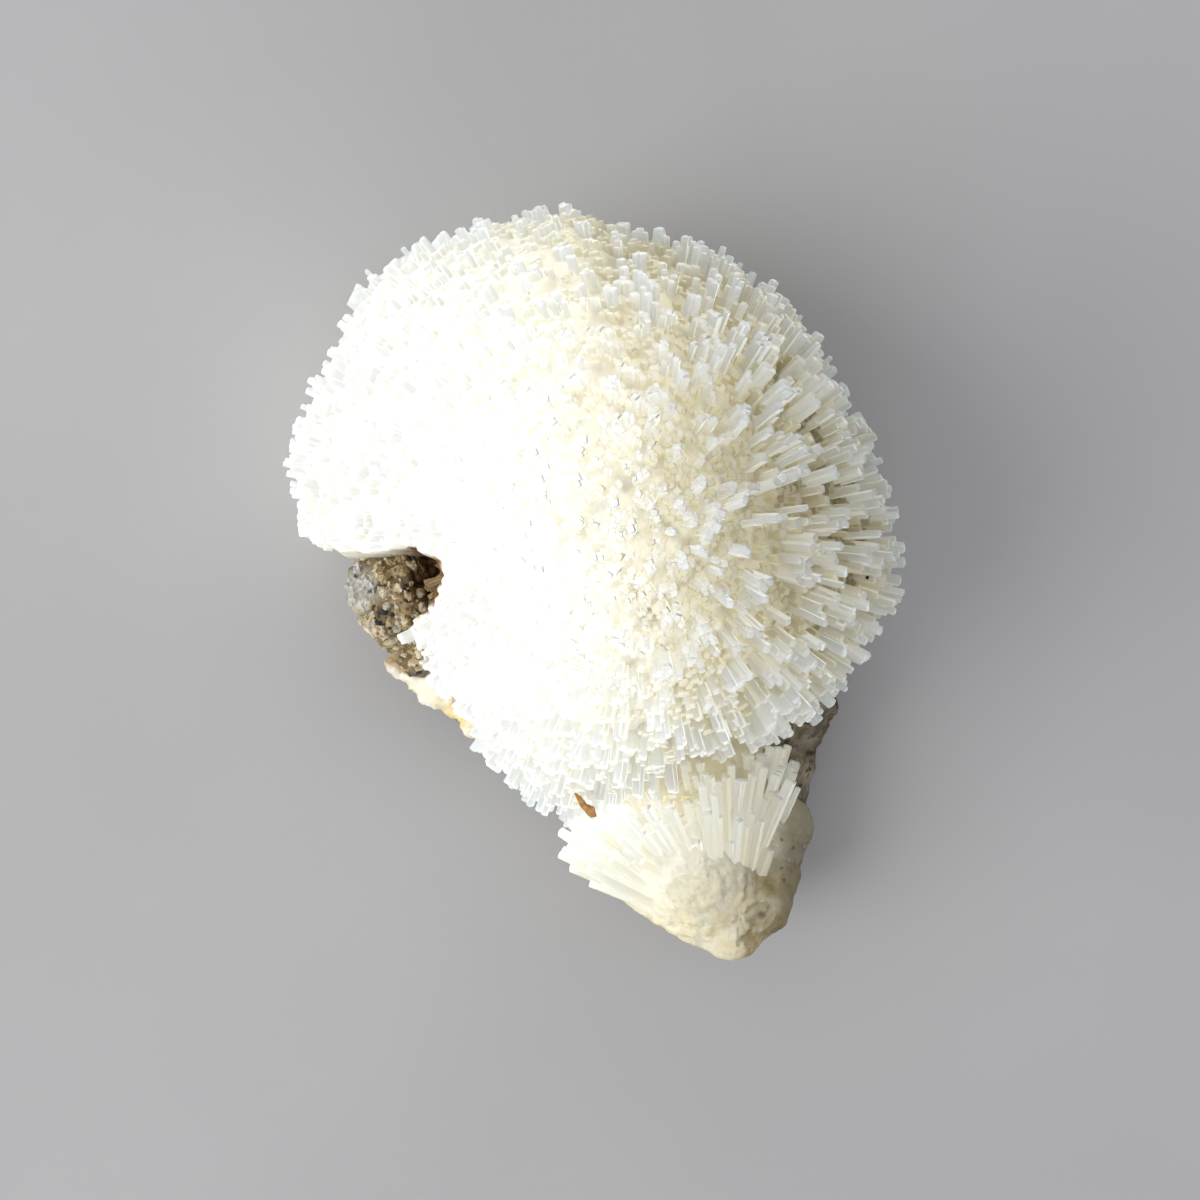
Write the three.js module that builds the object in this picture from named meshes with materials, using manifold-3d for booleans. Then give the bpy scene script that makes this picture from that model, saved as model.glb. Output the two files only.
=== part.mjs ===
// A natrolite specimen lying on its flat sawn back: a broad dome of blunt white prisms that radiate
// from one point, a smaller broken fan of the same crystals at its tip, the brown basalt both grew on,
// two patches of rounded crust on the rock and a rusty splinter caught in the crystals.
// Millimetres, +Z up, +Y from the tip towards the dome, the origin on the sawn back.
import * as THREE from "three";
import { mergeVertices } from "three/addons/utils/BufferGeometryUtils.js";
import Module from "manifold-3d";

const wasm = await Module();
wasm.setup();

// Driving dimensions, in millimetres and degrees. An azimuth runs from +X towards +Y.
const SEAT_GAP = 0.3; // between pieces that grew on each other
const HAIRLINE = 0.02; // detail finer than this is left out
const WELD = 1e-4; // corners nearer than this are one

const MAIN = {
  nucleus: new THREE.Vector3(5.7, 6.2, 18), // the point that the crystals of the dome radiate from
  reach: [
    38.3, 37.1, 37.3, 38.9, 42, 43.5, 45, 49.9, 51.6, 55, 53.2, 53,
    50, 43, 38.5, 38.5, 41.5, 44, 40, 36.3, 37, 38, 38, 39.7,
  ], // from the nucleus to the tips at its own height, every 15 degrees of azimuth
  rise: 38, // from the nucleus to the tips straight above it
  bundles: 174, // bundles of parallel crystals over the whole dome
  lowest: -18, // elevation of the crystals that hang over the rock
  rootShare: 0.76, // where the crystals stand free, as a share of their reach
  sunk: 3, // how far down the crystals reach into the inner mass
  uneven: 2.6, // how far short of their reach the shortest stop
  width: [3.7, 5], // across the narrowest and the widest bundle
  skirt: 8, // height of the dome's lower edge above the sawn back
  rootSides: 20,
  rootRings: 12,
};
const CRYSTAL = { sides: 4, cap: 0.22, foot: 0.9 }; // height of its end and width of its foot, by its width
const NOTCH = { x: -31.5, y: -3, halfX: 11.5, halfY: 6.8, sides: 20, height: 80 }; // broken out of the dome
const TIP_SIDE = { from: 250, to: 318, below: 6 }; // where the fan leaves the dome no room lower down

const FAN = {
  nucleus: new THREE.Vector3(18.4, -52.5, 11), // at the specimen's tip
  reach: 30,
  start: 6, // from the nucleus to the feet of the crystals
  uneven: 4,
  shortest: 16.5,
  directions: 290, // over a whole ball, of which the fan is a slice
  from: 66,
  to: 154,
  lowest: -6,
  highest: 42,
  width: [3, 4.4],
};
const FAN_ROOT = {
  centre: new THREE.Vector3(11.6, -43, 15),
  half: new THREE.Vector3(15.5, 10.5, 12), // along the broken edge, across it, and up
  turn: 147,
  sides: 16,
  rings: 10,
};
const BROKEN_EDGE = { through: new THREE.Vector3(5.1, -46.6, 12), faces: 237.5, lean: -12, block: 80 };

const ROCK = {
  centre: new THREE.Vector3(0, -5, 0),
  reach: [
    34, 34.5, 35, 36.5, 38, 40, 40.5, 40, 38, 36, 34.5, 34,
    33, 31, 28, 26, 25, 27, 33, 46, 51, 42, 37.5, 35.5,
  ], // from the centre to the flank, every 15 degrees of azimuth
  section: [
    [0, 0],
    [0.6, 0],
    [0.9, 0],
    [0.98, 4],
    [1, 8],
    [0.97, 12],
    [0.87, 15],
    [0.5, 17.5],
    [0, 18],
  ], // share of the reach, and height, up the flank
  widest: 8, // height of the widest part of the flank
  sides: 32,
  rugged: 2, // how far the flank swells and shrinks
  heave: 0.5, // the same up and down, as a share of it
};
const ROCK_BOSS = {
  centre: new THREE.Vector3(-28, -3.8, 18.5), // bared by the notch
  radius: 10.3,
  detail: 2,
  rugged: 0.16, // share of the radius
  grain: 1.6, // how much finer its bumps are than the flank's
};
const BUMPS = [
  { size: 0.6, along: 0.41, across: 0.37, up: 0, start: 0.9 },
  { size: 0.4, along: 0.83, across: 0.92, up: 0.65, start: 0.4 },
]; // waves of the broken rock: share of the height, and radians to the millimetre

const RIM_CRUST = {
  path: [[-29.3, -11.2, 14], [-26, -15.2, 14], [-19.5, -20.6, 12.5]], // along the flank, between its lumps
  lumps: 6,
  radius: [2.3, 3.5],
  stray: 1.4,
};
const TIP_CRUST = {
  path: [[19.6, -50.6, 15.5], [23.4, -45.2, 15.5], [26, -36.6, 14]],
  lumps: 7,
  radius: [4.2, 5.2],
  stray: 1.6,
};
const CRUST_LUMP = { detail: 1, rugged: 0.12 };
const SPLINTER = {
  x: -2.2,
  y: -31.4,
  corners: [
    [-0.5, 0],
    [-0.1, -0.42],
    [0.42, -0.5],
    [0.5, 0.1],
    [0.2, 0.5],
    [0.02, 0.12],
    [-0.3, 0.3],
  ], // of its torn outline, as shares of the length and the width
  length: 5.4,
  width: 1.5,
  thick: 0.5,
  turn: -56,
  slope: 38,
  lowering: 0.1, // the step it is let down by until crystals catch it
};

const COLOURS = {
  natrolite: { color: 0xf3f1e8, roughness: 0.35, metalness: 0 },
  basalt: { color: 0x8c7550, roughness: 0.9, metalness: 0 },
  creamCrust: { color: 0xe8dfc0, roughness: 0.45, metalness: 0 },
  tanCrust: { color: 0xc8b78d, roughness: 0.4, metalness: 0 },
  rust: { color: 0xb4742f, roughness: 0.7, metalness: 0 },
};

const SCATTER = { item: 12.9898, channel: 78.233, size: 43758.5453 };
const GOLDEN_ANGLE = Math.PI * (3 - Math.sqrt(5));
const radians = THREE.MathUtils.degToRad;

// A repeatable scatter between 0 and 1 for item i, with a different draw for each channel.
function scatter(i, channel) {
  const wave = Math.sin(i * SCATTER.item + channel * SCATTER.channel) * SCATTER.size;
  return wave - Math.floor(wave);
}

// A repeatable size between the two ends of a range.
function between([least, most], i, channel) {
  return THREE.MathUtils.lerp(least, most, scatter(i, channel));
}

// The value at an azimuth, in radians, of a list that goes once around.
function around(list, azimuth) {
  const turns = azimuth / (2 * Math.PI);
  const place = (turns - Math.floor(turns)) * list.length;
  const i = Math.floor(place);
  const ease = THREE.MathUtils.smoothstep(place - i, 0, 1);
  return THREE.MathUtils.lerp(list[i % list.length], list[(i + 1) % list.length], ease);
}

// True if an azimuth in degrees lies in a sector.
function inSector(sector, azimuth) {
  return azimuth >= sector.from && azimuth <= sector.to;
}

// Azimuth in degrees from 0 to 360, and elevation in degrees, of a unit vector.
function bearing(direction) {
  const azimuth = THREE.MathUtils.radToDeg(Math.atan2(direction.y, direction.x));
  return { azimuth: (azimuth + 360) % 360, elevation: THREE.MathUtils.radToDeg(Math.asin(direction.z)) };
}

// Unit vectors spread evenly over the sphere from straight up down to an elevation in degrees.
function spreadDirections(count, lowest) {
  const floor = Math.sin(radians(lowest));
  return Array.from({ length: count }, (_, i) => {
    const z = 1 - ((1 - floor) * (i + 0.5)) / count;
    const level = Math.sqrt(1 - z * z);
    return new THREE.Vector3(level * Math.cos(i * GOLDEN_ANGLE), level * Math.sin(i * GOLDEN_ANGLE), z);
  });
}

// A closed three.js geometry as a solid that can be joined and cut.
function solidOf(geometry) {
  const bare = geometry.clone();
  bare.deleteAttribute("normal");
  bare.deleteAttribute("uv");
  const merged = mergeVertices(bare, WELD);
  const corners = merged.index.array;
  const triangles = [];
  for (let i = 0; i < corners.length; i += 3) {
    const [a, b, c] = corners.slice(i, i + 3);
    if (a !== b && b !== c && c !== a) triangles.push(a, b, c);
  }
  return new wasm.Manifold(
    new wasm.Mesh({
      numProp: 3,
      vertProperties: new Float32Array(merged.attributes.position.array),
      triVerts: new Uint32Array(triangles),
    }),
  );
}

// A joined or cut solid as a three.js geometry with flat faces.
function geometryOf(solid) {
  const mesh = solid.getMesh();
  const geometry = new THREE.BufferGeometry();
  geometry.setAttribute("position", new THREE.BufferAttribute(mesh.vertProperties, 3));
  geometry.setIndex(new THREE.BufferAttribute(mesh.triVerts, 1));
  const faceted = geometry.toNonIndexed();
  faceted.computeVertexNormals();
  return faceted;
}

// The largest of a solid's separate bodies, without the chips and hairline edges that a cut leaves.
function largestBody(solid) {
  return solid
    .decompose()
    .reduce((a, b) => (a.volume() > b.volume() ? a : b))
    .simplify(HAIRLINE);
}

// Moves each vertex of a geometry to where a function of its position says.
function reshape(geometry, place) {
  const position = geometry.attributes.position;
  const point = new THREE.Vector3();
  for (let i = 0; i < position.count; i++) {
    point.fromBufferAttribute(position, i);
    const moved = place(point);
    position.setXYZ(i, moved.x, moved.y, moved.z);
  }
  return geometry;
}

// A square prism with a low point at its outer end, from one distance to another along a direction.
function crystal(origin, direction, from, to, width, twist) {
  const corner = width / Math.SQRT2;
  const profile = [
    new THREE.Vector2(0, from),
    new THREE.Vector2(CRYSTAL.foot * corner, from),
    new THREE.Vector2(corner, to - CRYSTAL.cap * width),
    new THREE.Vector2(0, to),
  ];
  const geometry = new THREE.LatheGeometry(profile, CRYSTAL.sides);
  geometry.rotateY(twist);
  geometry.applyQuaternion(
    new THREE.Quaternion().setFromUnitVectors(new THREE.Vector3(0, 1, 0), direction),
  );
  geometry.translate(origin.x, origin.y, origin.z);
  return solidOf(geometry);
}

// Distance from the dome's nucleus to its tips along a direction.
function mainReach(direction) {
  const side = around(MAIN.reach, Math.atan2(direction.y, direction.x));
  const up = Math.max(direction.z, 0);
  const level = Math.sqrt(1 - up * up);
  return 1 / Math.hypot(level / side, up / MAIN.rise);
}

// Uneven bumps of a broken rock face, between -1 and 1.
function bumps(p) {
  return BUMPS.reduce((height, { size, along, across, up, start }) => {
    const first = Math.sin(along * p.x + up * p.z + start);
    const second = Math.sin(across * p.y - up * p.z + start);
    return height + size * first * second;
  }, 0);
}

// The basalt, swollen by a margin: a rugged flank around a flat back, with the boss bared by the notch.
function rockSolid(margin) {
  const profile = ROCK.section.map(([share, height]) => new THREE.Vector2(share, height));
  const slab = reshape(new THREE.LatheGeometry(profile, ROCK.sides).rotateX(Math.PI / 2), (p) => {
    const azimuth = Math.atan2(p.y, p.x);
    const share = Math.hypot(p.x, p.y);
    const reach = around(ROCK.reach, azimuth);
    const rim = new THREE.Vector3(reach * Math.cos(azimuth), reach * Math.sin(azimuth), p.z);
    const rough = ROCK.rugged * bumps(rim) * share;
    const out = share * (reach + rough) + (share > 0 ? margin : 0);
    const top = p.z > ROCK.widest ? margin : 0;
    const height = p.z > HAIRLINE ? p.z + ROCK.heave * rough + top : -margin;
    return new THREE.Vector3(
      ROCK.centre.x + out * Math.cos(azimuth),
      ROCK.centre.y + out * Math.sin(azimuth),
      height,
    );
  });
  const { centre, radius, detail, rugged, grain } = ROCK_BOSS;
  const boss = reshape(new THREE.IcosahedronGeometry(radius, detail), (p) => {
    const rough = 1 + rugged * bumps(p.clone().multiplyScalar(grain)) + margin / radius;
    return p.clone().multiplyScalar(rough).add(centre);
  });
  return solidOf(slab).add(solidOf(boss));
}

// The dome's tight inner mass, up to where its crystals stand free.
function mainRootSolid() {
  const globe = new THREE.SphereGeometry(1, MAIN.rootSides, MAIN.rootRings).rotateX(Math.PI / 2);
  const ball = reshape(globe, (p) => {
    const direction = p.clone().normalize();
    const reach = MAIN.rootShare * mainReach(direction);
    const fall = direction.z < 0 ? (MAIN.nucleus.z - MAIN.skirt) / -direction.z : Infinity;
    return direction.multiplyScalar(Math.min(reach, fall)).add(MAIN.nucleus);
  });
  return solidOf(ball);
}

// The dome's free crystals, as bundles that stand out of its inner mass.
function mainCrystals() {
  const found = [];
  spreadDirections(MAIN.bundles, MAIN.lowest).forEach((direction, i) => {
    const { azimuth, elevation } = bearing(direction);
    if (inSector(TIP_SIDE, azimuth) && elevation < TIP_SIDE.below) return;
    const reach = mainReach(direction);
    const foot = MAIN.rootShare * reach - MAIN.sunk;
    const tip = reach - MAIN.uneven * scatter(i, 1);
    const width = between(MAIN.width, i, 2);
    const twist = (Math.PI / 2) * scatter(i, 3);
    found.push(crystal(MAIN.nucleus, direction, foot, tip, width, twist));
  });
  return found;
}

// The upright hole in the dome where a piece broke away down to the rock.
function notchSolid() {
  const { x, y, halfX, halfY, sides, height } = NOTCH;
  const hole = new THREE.CylinderGeometry(1, 1, height, sides).rotateX(Math.PI / 2);
  return solidOf(hole.scale(halfX, halfY, 1).translate(x, y, height / 2));
}

// The fan's dense white root, broken off along one edge.
function fanRootSolid() {
  const { centre, half, turn, sides, rings } = FAN_ROOT;
  const lump = new THREE.SphereGeometry(1, sides, rings).rotateX(Math.PI / 2);
  lump.scale(half.x, half.y, half.z).rotateZ(radians(turn)).translate(centre.x, centre.y, centre.z);
  return solidOf(lump);
}

// A large block whose near face is the plane that the fan broke along.
function brokenSide() {
  const { through, faces, lean, block } = BROKEN_EDGE;
  const side = new THREE.BoxGeometry(block, block, block).translate(block / 2, 0, 0);
  side.rotateY(-radians(lean)).rotateZ(radians(faces));
  return solidOf(side.translate(through.x, through.y, through.z));
}

// The fan's free crystals, each stopped short of the dome it grew against.
function fanCrystals(dome) {
  const found = [];
  spreadDirections(FAN.directions, -90).forEach((direction, i) => {
    const { azimuth, elevation } = bearing(direction);
    if (!inSector(FAN, azimuth) || elevation < FAN.lowest || elevation > FAN.highest) return;
    const twist = (Math.PI / 2) * scatter(i, 6);
    const width = between(FAN.width, i, 5);
    for (let tip = FAN.reach - FAN.uneven * scatter(i, 4); tip > FAN.shortest; tip -= 1) {
      const room = crystal(FAN.nucleus, direction, FAN.start, tip + SEAT_GAP, width + 2 * SEAT_GAP, twist);
      if (room.intersect(dome).volume() > 0) continue;
      found.push(crystal(FAN.nucleus, direction, FAN.start, tip, width, twist));
      break;
    }
  });
  return found;
}

// A patch of rounded lumps scattered about a path, swollen by a margin.
function crustSolid({ path, lumps, radius, stray }, margin) {
  const line = new THREE.CatmullRomCurve3(path.map((p) => new THREE.Vector3(...p)));
  let joined = null;
  for (let i = 0; i < lumps; i++) {
    const off = new THREE.Vector3(scatter(i, 7), scatter(i, 8), 2 * scatter(i, 9)).subScalar(0.5);
    const centre = line.getPoint(i / (lumps - 1)).addScaledVector(off, stray);
    const size = between(radius, i, 10) + margin;
    const lump = reshape(new THREE.IcosahedronGeometry(size, CRUST_LUMP.detail), (p) =>
      p.clone().multiplyScalar(1 + CRUST_LUMP.rugged * bumps(p)).add(centre),
    );
    joined = joined ? joined.add(solidOf(lump)) : solidOf(lump);
  }
  return joined;
}

// The rusty splinter, a thin notched chip that lies on the slope of the crystals at a height.
function splinterGeometry(height) {
  const { x, y, corners, length, width, thick, turn, slope } = SPLINTER;
  const outline = new THREE.Shape(
    corners.map(([along, across]) => new THREE.Vector2(along * length, across * width)),
  );
  const chip = new THREE.ExtrudeGeometry(outline, { depth: thick, bevelEnabled: false });
  return chip.rotateZ(radians(turn)).rotateX(radians(slope)).translate(x, y, height);
}

// The lowest height at which the splinter is still clear of the crystals that catch it.
function splinterRest(crystals) {
  const { lowering } = SPLINTER;
  let height = MAIN.nucleus.z + MAIN.rise;
  while (solidOf(splinterGeometry(height - SEAT_GAP - lowering)).intersect(crystals).volume() === 0) {
    height -= lowering;
  }
  return height;
}

const rock = rockSolid(0);
const rockSeat = rockSolid(SEAT_GAP);
const rimCrust = largestBody(crustSolid(RIM_CRUST, 0).subtract(rockSeat));
const tipCrust = largestBody(crustSolid(TIP_CRUST, 0).subtract(rockSeat));
const crustSeats = crustSolid(RIM_CRUST, SEAT_GAP).add(crustSolid(TIP_CRUST, SEAT_GAP));

const mainWhole = mainCrystals().reduce((joined, one) => joined.add(one), mainRootSolid());
const mainSpray = largestBody(mainWhole.subtract(notchSolid()).subtract(rockSeat).subtract(crustSeats));

const fanWhole = fanCrystals(mainSpray).reduce((joined, one) => joined.add(one), fanRootSolid());
const fanSpray = largestBody(fanWhole.subtract(brokenSide()).subtract(rockSeat).subtract(crustSeats));

const specimen = new THREE.Group();

function addPiece(name, geometry, finish) {
  const piece = new THREE.Mesh(geometry, new THREE.MeshStandardMaterial(finish));
  piece.name = name;
  specimen.add(piece);
}

addPiece("matrix_rock", geometryOf(rock), COLOURS.basalt);
addPiece("main_spray", geometryOf(mainSpray), COLOURS.natrolite);
addPiece("tip_fan", geometryOf(fanSpray), COLOURS.natrolite);
addPiece("rim_crust", geometryOf(rimCrust), COLOURS.creamCrust);
addPiece("tip_crust", geometryOf(tipCrust), COLOURS.tanCrust);
addPiece("rusty_splinter", splinterGeometry(splinterRest(mainSpray.add(fanSpray))), COLOURS.rust);

export default specimen;
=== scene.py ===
import math

import bpy
import numpy as np
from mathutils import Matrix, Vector
from mathutils.bvhtree import BVHTree


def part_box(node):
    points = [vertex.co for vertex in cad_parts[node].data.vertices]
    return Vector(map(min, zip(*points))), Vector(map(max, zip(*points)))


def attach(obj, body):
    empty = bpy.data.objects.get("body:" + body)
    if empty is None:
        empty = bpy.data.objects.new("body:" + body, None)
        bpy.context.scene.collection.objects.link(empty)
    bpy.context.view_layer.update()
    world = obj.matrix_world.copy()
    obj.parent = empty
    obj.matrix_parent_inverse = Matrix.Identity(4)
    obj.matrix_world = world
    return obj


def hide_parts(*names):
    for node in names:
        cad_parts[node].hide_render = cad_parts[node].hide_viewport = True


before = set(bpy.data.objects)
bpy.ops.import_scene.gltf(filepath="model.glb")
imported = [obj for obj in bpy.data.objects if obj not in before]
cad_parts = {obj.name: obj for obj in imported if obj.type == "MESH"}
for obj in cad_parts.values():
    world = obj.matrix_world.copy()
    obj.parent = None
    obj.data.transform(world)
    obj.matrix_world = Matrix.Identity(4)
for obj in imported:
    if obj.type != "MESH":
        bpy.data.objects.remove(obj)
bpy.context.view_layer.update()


# Basalt matrix
# The brown weathered lava that everything grew on: one broken lump, rough all round, with a boss that the
# notch lays bare, and a flat sawn back that it lies on.
MM = 0.001
ROCK_VOXEL = 0.75 * MM
ROCK_RELIEF = (("CLOUDS", 9 * MM, 2.8 * MM), ("VORONOI", 3.4 * MM, 1.6 * MM), ("CLOUDS", 1.4 * MM, 0.9 * MM))
NOTCH_CENTRE = np.array([-31.5, -3.1]) * MM
NOTCH_HALF = np.array([10.9, 5.75]) * MM
NOTCH_TILT = math.radians(25)
NOTCH_AXES = np.array([
    [math.cos(NOTCH_TILT), math.sin(NOTCH_TILT)],
    [-math.sin(NOTCH_TILT), math.cos(NOTCH_TILT)],
])
TRIM_POINT = np.array([-36.2, -3.4]) * MM
TRIM_WAY = np.array([-0.776, -0.631])
LEFT_END = -36.0 * MM
SHADOWED_CORNER = np.array([-23.6, 0.6]) * MM
CLEAR_LUMPS = np.array([-34.3, -1.8]) * MM
FLANK_TONES = [
    (0.30, (0.060, 0.050, 0.036)),
    (0.48, (0.165, 0.135, 0.090)),
    (0.62, (0.290, 0.250, 0.175)),
    (0.80, (0.420, 0.380, 0.300)),
]
NOTCH_TONES = [
    (0.30, (0.085, 0.055, 0.024)),
    (0.45, (0.240, 0.165, 0.080)),
    (0.58, (0.430, 0.330, 0.185)),
    (0.72, (0.640, 0.540, 0.360)),
]


def make_active(piece):
    bpy.ops.object.select_all(action="DESELECT")
    piece.select_set(True)
    bpy.context.view_layer.objects.active = piece


def apply_modifier(piece, kind, **settings):
    make_active(piece)
    modifier = piece.modifiers.new(kind.lower(), kind)
    for setting, value in settings.items():
        setattr(modifier, setting, value)
    bpy.ops.object.modifier_apply(modifier=modifier.name)


def edit_whole(operator, **settings):
    """Runs one edit-mode operator on all of the active piece."""
    bpy.ops.object.mode_set(mode="EDIT")
    bpy.ops.mesh.select_all(action="SELECT")
    operator(**settings)
    bpy.ops.object.mode_set(mode="OBJECT")


def copy_of_solid(node, name):
    piece = bpy.data.objects.new(name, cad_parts[node].data.copy())
    bpy.context.collection.objects.link(piece)
    piece.data.materials.clear()
    make_active(piece)
    edit_whole(bpy.ops.mesh.remove_doubles, threshold=0.001 * MM)
    return piece


def places(piece):
    found = np.empty(3 * len(piece.data.vertices))
    piece.data.vertices.foreach_get("co", found)
    return found.reshape(-1, 3)


def move_to(piece, new_places):
    piece.data.vertices.foreach_set("co", np.asarray(new_places).ravel())
    piece.data.update()


def roughen(piece, relief):
    for number, (pattern, size, depth) in enumerate(relief):
        texture = bpy.data.textures.new(f"{piece.name}_relief_{number}", pattern)
        texture.noise_scale = size
        if pattern == "CLOUDS":
            texture.noise_depth = 3
        apply_modifier(piece, "DISPLACE", texture=texture, strength=depth, texture_coords="LOCAL")


def add_attribute(piece, name, values):
    kind, field = ("FLOAT_VECTOR", "vector") if values.ndim == 2 else ("FLOAT", "value")
    attribute = piece.data.attributes.new(name, kind, "POINT")
    attribute.data.foreach_set(field, values.ravel())


def away(points, spot):
    """How far points lie from a spot, seen from above."""
    return np.linalg.norm(points[:, :2] - spot, axis=1)


def ease(low, high, value):
    share = np.clip((value - low) / (high - low), 0.0, 1.0)
    return share * share * (3 - 2 * share)


class Nodes:
    """Short ways to add and join the nodes of a material or a group."""

    def __init__(self, tree):
        self.tree = tree

    def node(self, kind, given=None, **settings):
        """A new node. Each input that is given takes a value or the output of another node."""
        made = self.tree.nodes.new(kind)
        for setting, value in settings.items():
            setattr(made, setting, value)
        for socket, value in (given or {}).items():
            if isinstance(value, bpy.types.NodeSocket):
                self.tree.links.new(value, made.inputs[socket])
            else:
                made.inputs[socket].default_value = value
        return made

    def place(self):
        return self.node("ShaderNodeTexCoord").outputs["Object"]

    def value(self, name):
        return self.node("ShaderNodeAttribute", attribute_name=name).outputs["Fac"]

    def vector(self, name):
        return self.node("ShaderNodeAttribute", attribute_name=name).outputs["Vector"]

    def noise(self, vector, scale, detail=4.0, roughness=0.55):
        given = {"Vector": vector, "Scale": scale, "Detail": detail, "Roughness": roughness}
        return self.node("ShaderNodeTexNoise", given).outputs["Fac"]

    def stretched(self, vector, scale):
        return self.node("ShaderNodeMapping", {"Vector": vector, "Scale": scale}).outputs["Vector"]

    def cells(self, vector, scale):
        return self.node("ShaderNodeTexVoronoi", {"Vector": vector, "Scale": scale})

    def ramp(self, value, stops, smooth="LINEAR"):
        made = self.node("ShaderNodeValToRGB", {"Fac": value})
        made.color_ramp.interpolation = smooth
        elements = made.color_ramp.elements
        while len(elements) < len(stops):
            elements.new(0.5)
        for element, (position, colour) in zip(elements, stops):
            element.position = position
            element.color = (*colour, 1.0)
        return made.outputs["Color"]

    def band(self, value, low, high):
        given = {"Value": value, "From Min": low, "From Max": high}
        return self.node("ShaderNodeMapRange", given, clamp=True).outputs["Result"]

    def math(self, operation, first, second):
        return self.node("ShaderNodeMath", {0: first, 1: second}, operation=operation).outputs["Value"]

    def blend(self, amount, first, second, mode="MIX"):
        first, second = ((*tone, 1.0) if isinstance(tone, tuple) else tone for tone in (first, second))
        given = {"Factor": amount, 6: first, 7: second}
        return self.node("ShaderNodeMix", given, data_type="RGBA", blend_type=mode).outputs[2]

    def bump(self, height, distance, strength, under=None):
        given = {"Height": height, "Distance": distance, "Strength": strength}
        if under is not None:
            given["Normal"] = under
        return self.node("ShaderNodeBump", given).outputs["Normal"]


class Finish(Nodes):
    """A new material."""

    def __init__(self, name):
        self.material = bpy.data.materials.new(name)
        self.material.use_nodes = True
        super().__init__(self.material.node_tree)
        self.shader = self.tree.nodes["Principled BSDF"]

    def set(self, **values):
        for name, value in values.items():
            self.shader.inputs[name.replace("_", " ")].default_value = value

    def colour(self, output):
        self.tree.links.new(output, self.shader.inputs["Base Color"])

    def roughness(self, output):
        self.tree.links.new(output, self.shader.inputs["Roughness"])

    def normal(self, output):
        self.tree.links.new(output, self.shader.inputs["Normal"])

    def glow(self, radius, scale):
        """Lets light wander through the stone, so that its shadows fill up."""
        self.shader.subsurface_method = "BURLEY"
        self.set(Subsurface_Weight=1.0, Subsurface_Radius=radius, Subsurface_Scale=scale)

    def light_along(self, ray, colour):
        """Lights each face of a crystal from the side its ray points to, the far ones through the stone."""
        true_normal = self.node("ShaderNodeNewGeometry").outputs["Normal"]
        facing = self.node("ShaderNodeMix", {"Factor": 0.95, 4: true_normal, 5: ray}, data_type="VECTOR")
        normal = self.node("ShaderNodeVectorMath", {0: facing.outputs[1]}, operation="NORMALIZE")
        inward = self.node("ShaderNodeVectorMath", {0: ray, "Scale": -1}, operation="SCALE")
        lobe = self.node("ShaderNodeBsdfTranslucent", {"Color": colour, "Normal": inward.outputs[0]})
        both = self.node("ShaderNodeAddShader", {0: self.shader.outputs[0], 1: lobe.outputs[0]})
        self.tree.links.new(both.outputs[0], self.tree.nodes["Material Output"].inputs["Surface"])
        self.colour(colour)
        return normal.outputs[0]


rock = copy_of_solid("matrix_rock", "basalt_matrix")
apply_modifier(rock, "REMESH", mode="VOXEL", voxel_size=ROCK_VOXEL)
rock_places = places(rock)
sawn = rock_places[:, 2] < 0.6 * ROCK_VOXEL
roughen(rock, ROCK_RELIEF)
rock_places = places(rock)
rock_places[:, 2] = np.maximum(rock_places[:, 2], 0.0)
rock_places[sawn, 2] = 0.0
past_trim = np.clip((rock_places[:, :2] - TRIM_POINT) @ TRIM_WAY, 0, None)
rock_places[:, :2] -= 0.92 * past_trim[:, None] * TRIM_WAY
rock_places[:, 0] += 0.8 * np.clip(LEFT_END - rock_places[:, 0], 0, None)
move_to(rock, rock_places)
add_attribute(rock, "sawn", sawn.astype(float))
from_notch = np.linalg.norm((rock_places[:, :2] - NOTCH_CENTRE) @ NOTCH_AXES.T / NOTCH_HALF, axis=1)
add_attribute(rock, "bared", 1 - ease(1.5, 2.2, from_notch))
# Painted shadow: the rock round the notch's deep corner, under the overhang of the dome's heart, is painted
# dark brown.
from_corner = away(rock_places, SHADOWED_CORNER)
add_attribute(rock, "deep", 1 - ease(2.5 * MM, 5.5 * MM, from_corner))
from_lumps = away(rock_places, CLEAR_LUMPS)
add_attribute(rock, "pale", 1 - ease(1.5 * MM, 4.5 * MM, from_lumps))
rock.data.shade_smooth()

basalt = Finish("basalt")
basalt_place = basalt.place()
patches = basalt.noise(basalt_place, 160, 6, 0.62)
flank_tone = basalt.ramp(patches, FLANK_TONES)
notch_tone = basalt.ramp(patches, NOTCH_TONES)
weathered = basalt.blend(basalt.value("bared"), flank_tone, notch_tone)
# Painted shadow in the deep corner, laid over the rock's own tones.
weathered = basalt.blend(basalt.value("deep"), weathered, (0.075, 0.042, 0.015))
weathered = basalt.blend(basalt.value("pale"), weathered, (0.560, 0.540, 0.470))
grit = basalt.cells(basalt_place, 900)
grit_stops = [(0.2, (0.45, 0.40, 0.34)), (0.6, (1.0, 1.0, 1.0)), (0.9, (1.4, 1.35, 1.2))]
grained = basalt.blend(0.5, weathered, basalt.ramp(grit.outputs["Color"], grit_stops), "MULTIPLY")
pits = basalt.band(basalt.noise(basalt_place, 420, 3, 0.6), 0.34, 0.44)
pitted = basalt.blend(pits, (0.030, 0.022, 0.014), grained)
saw_stops = [(0.3, (0.10, 0.09, 0.08)), (0.7, (0.24, 0.21, 0.17))]
saw_tone = basalt.ramp(basalt.noise(basalt_place, 700, 5), saw_stops)
basalt.colour(basalt.blend(basalt.value("sawn"), pitted, saw_tone))
basalt.roughness(basalt.band(patches, -0.9, 0.9))
grain_height = basalt.math("ADD", basalt.noise(basalt_place, 900, 4, 0.7), grit.outputs["Distance"])
basalt.normal(basalt.bump(grain_height, 0.5 * MM, 0.7))
rock.data.materials.append(basalt.material)
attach(rock, "root")
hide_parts("matrix_rock")


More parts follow.
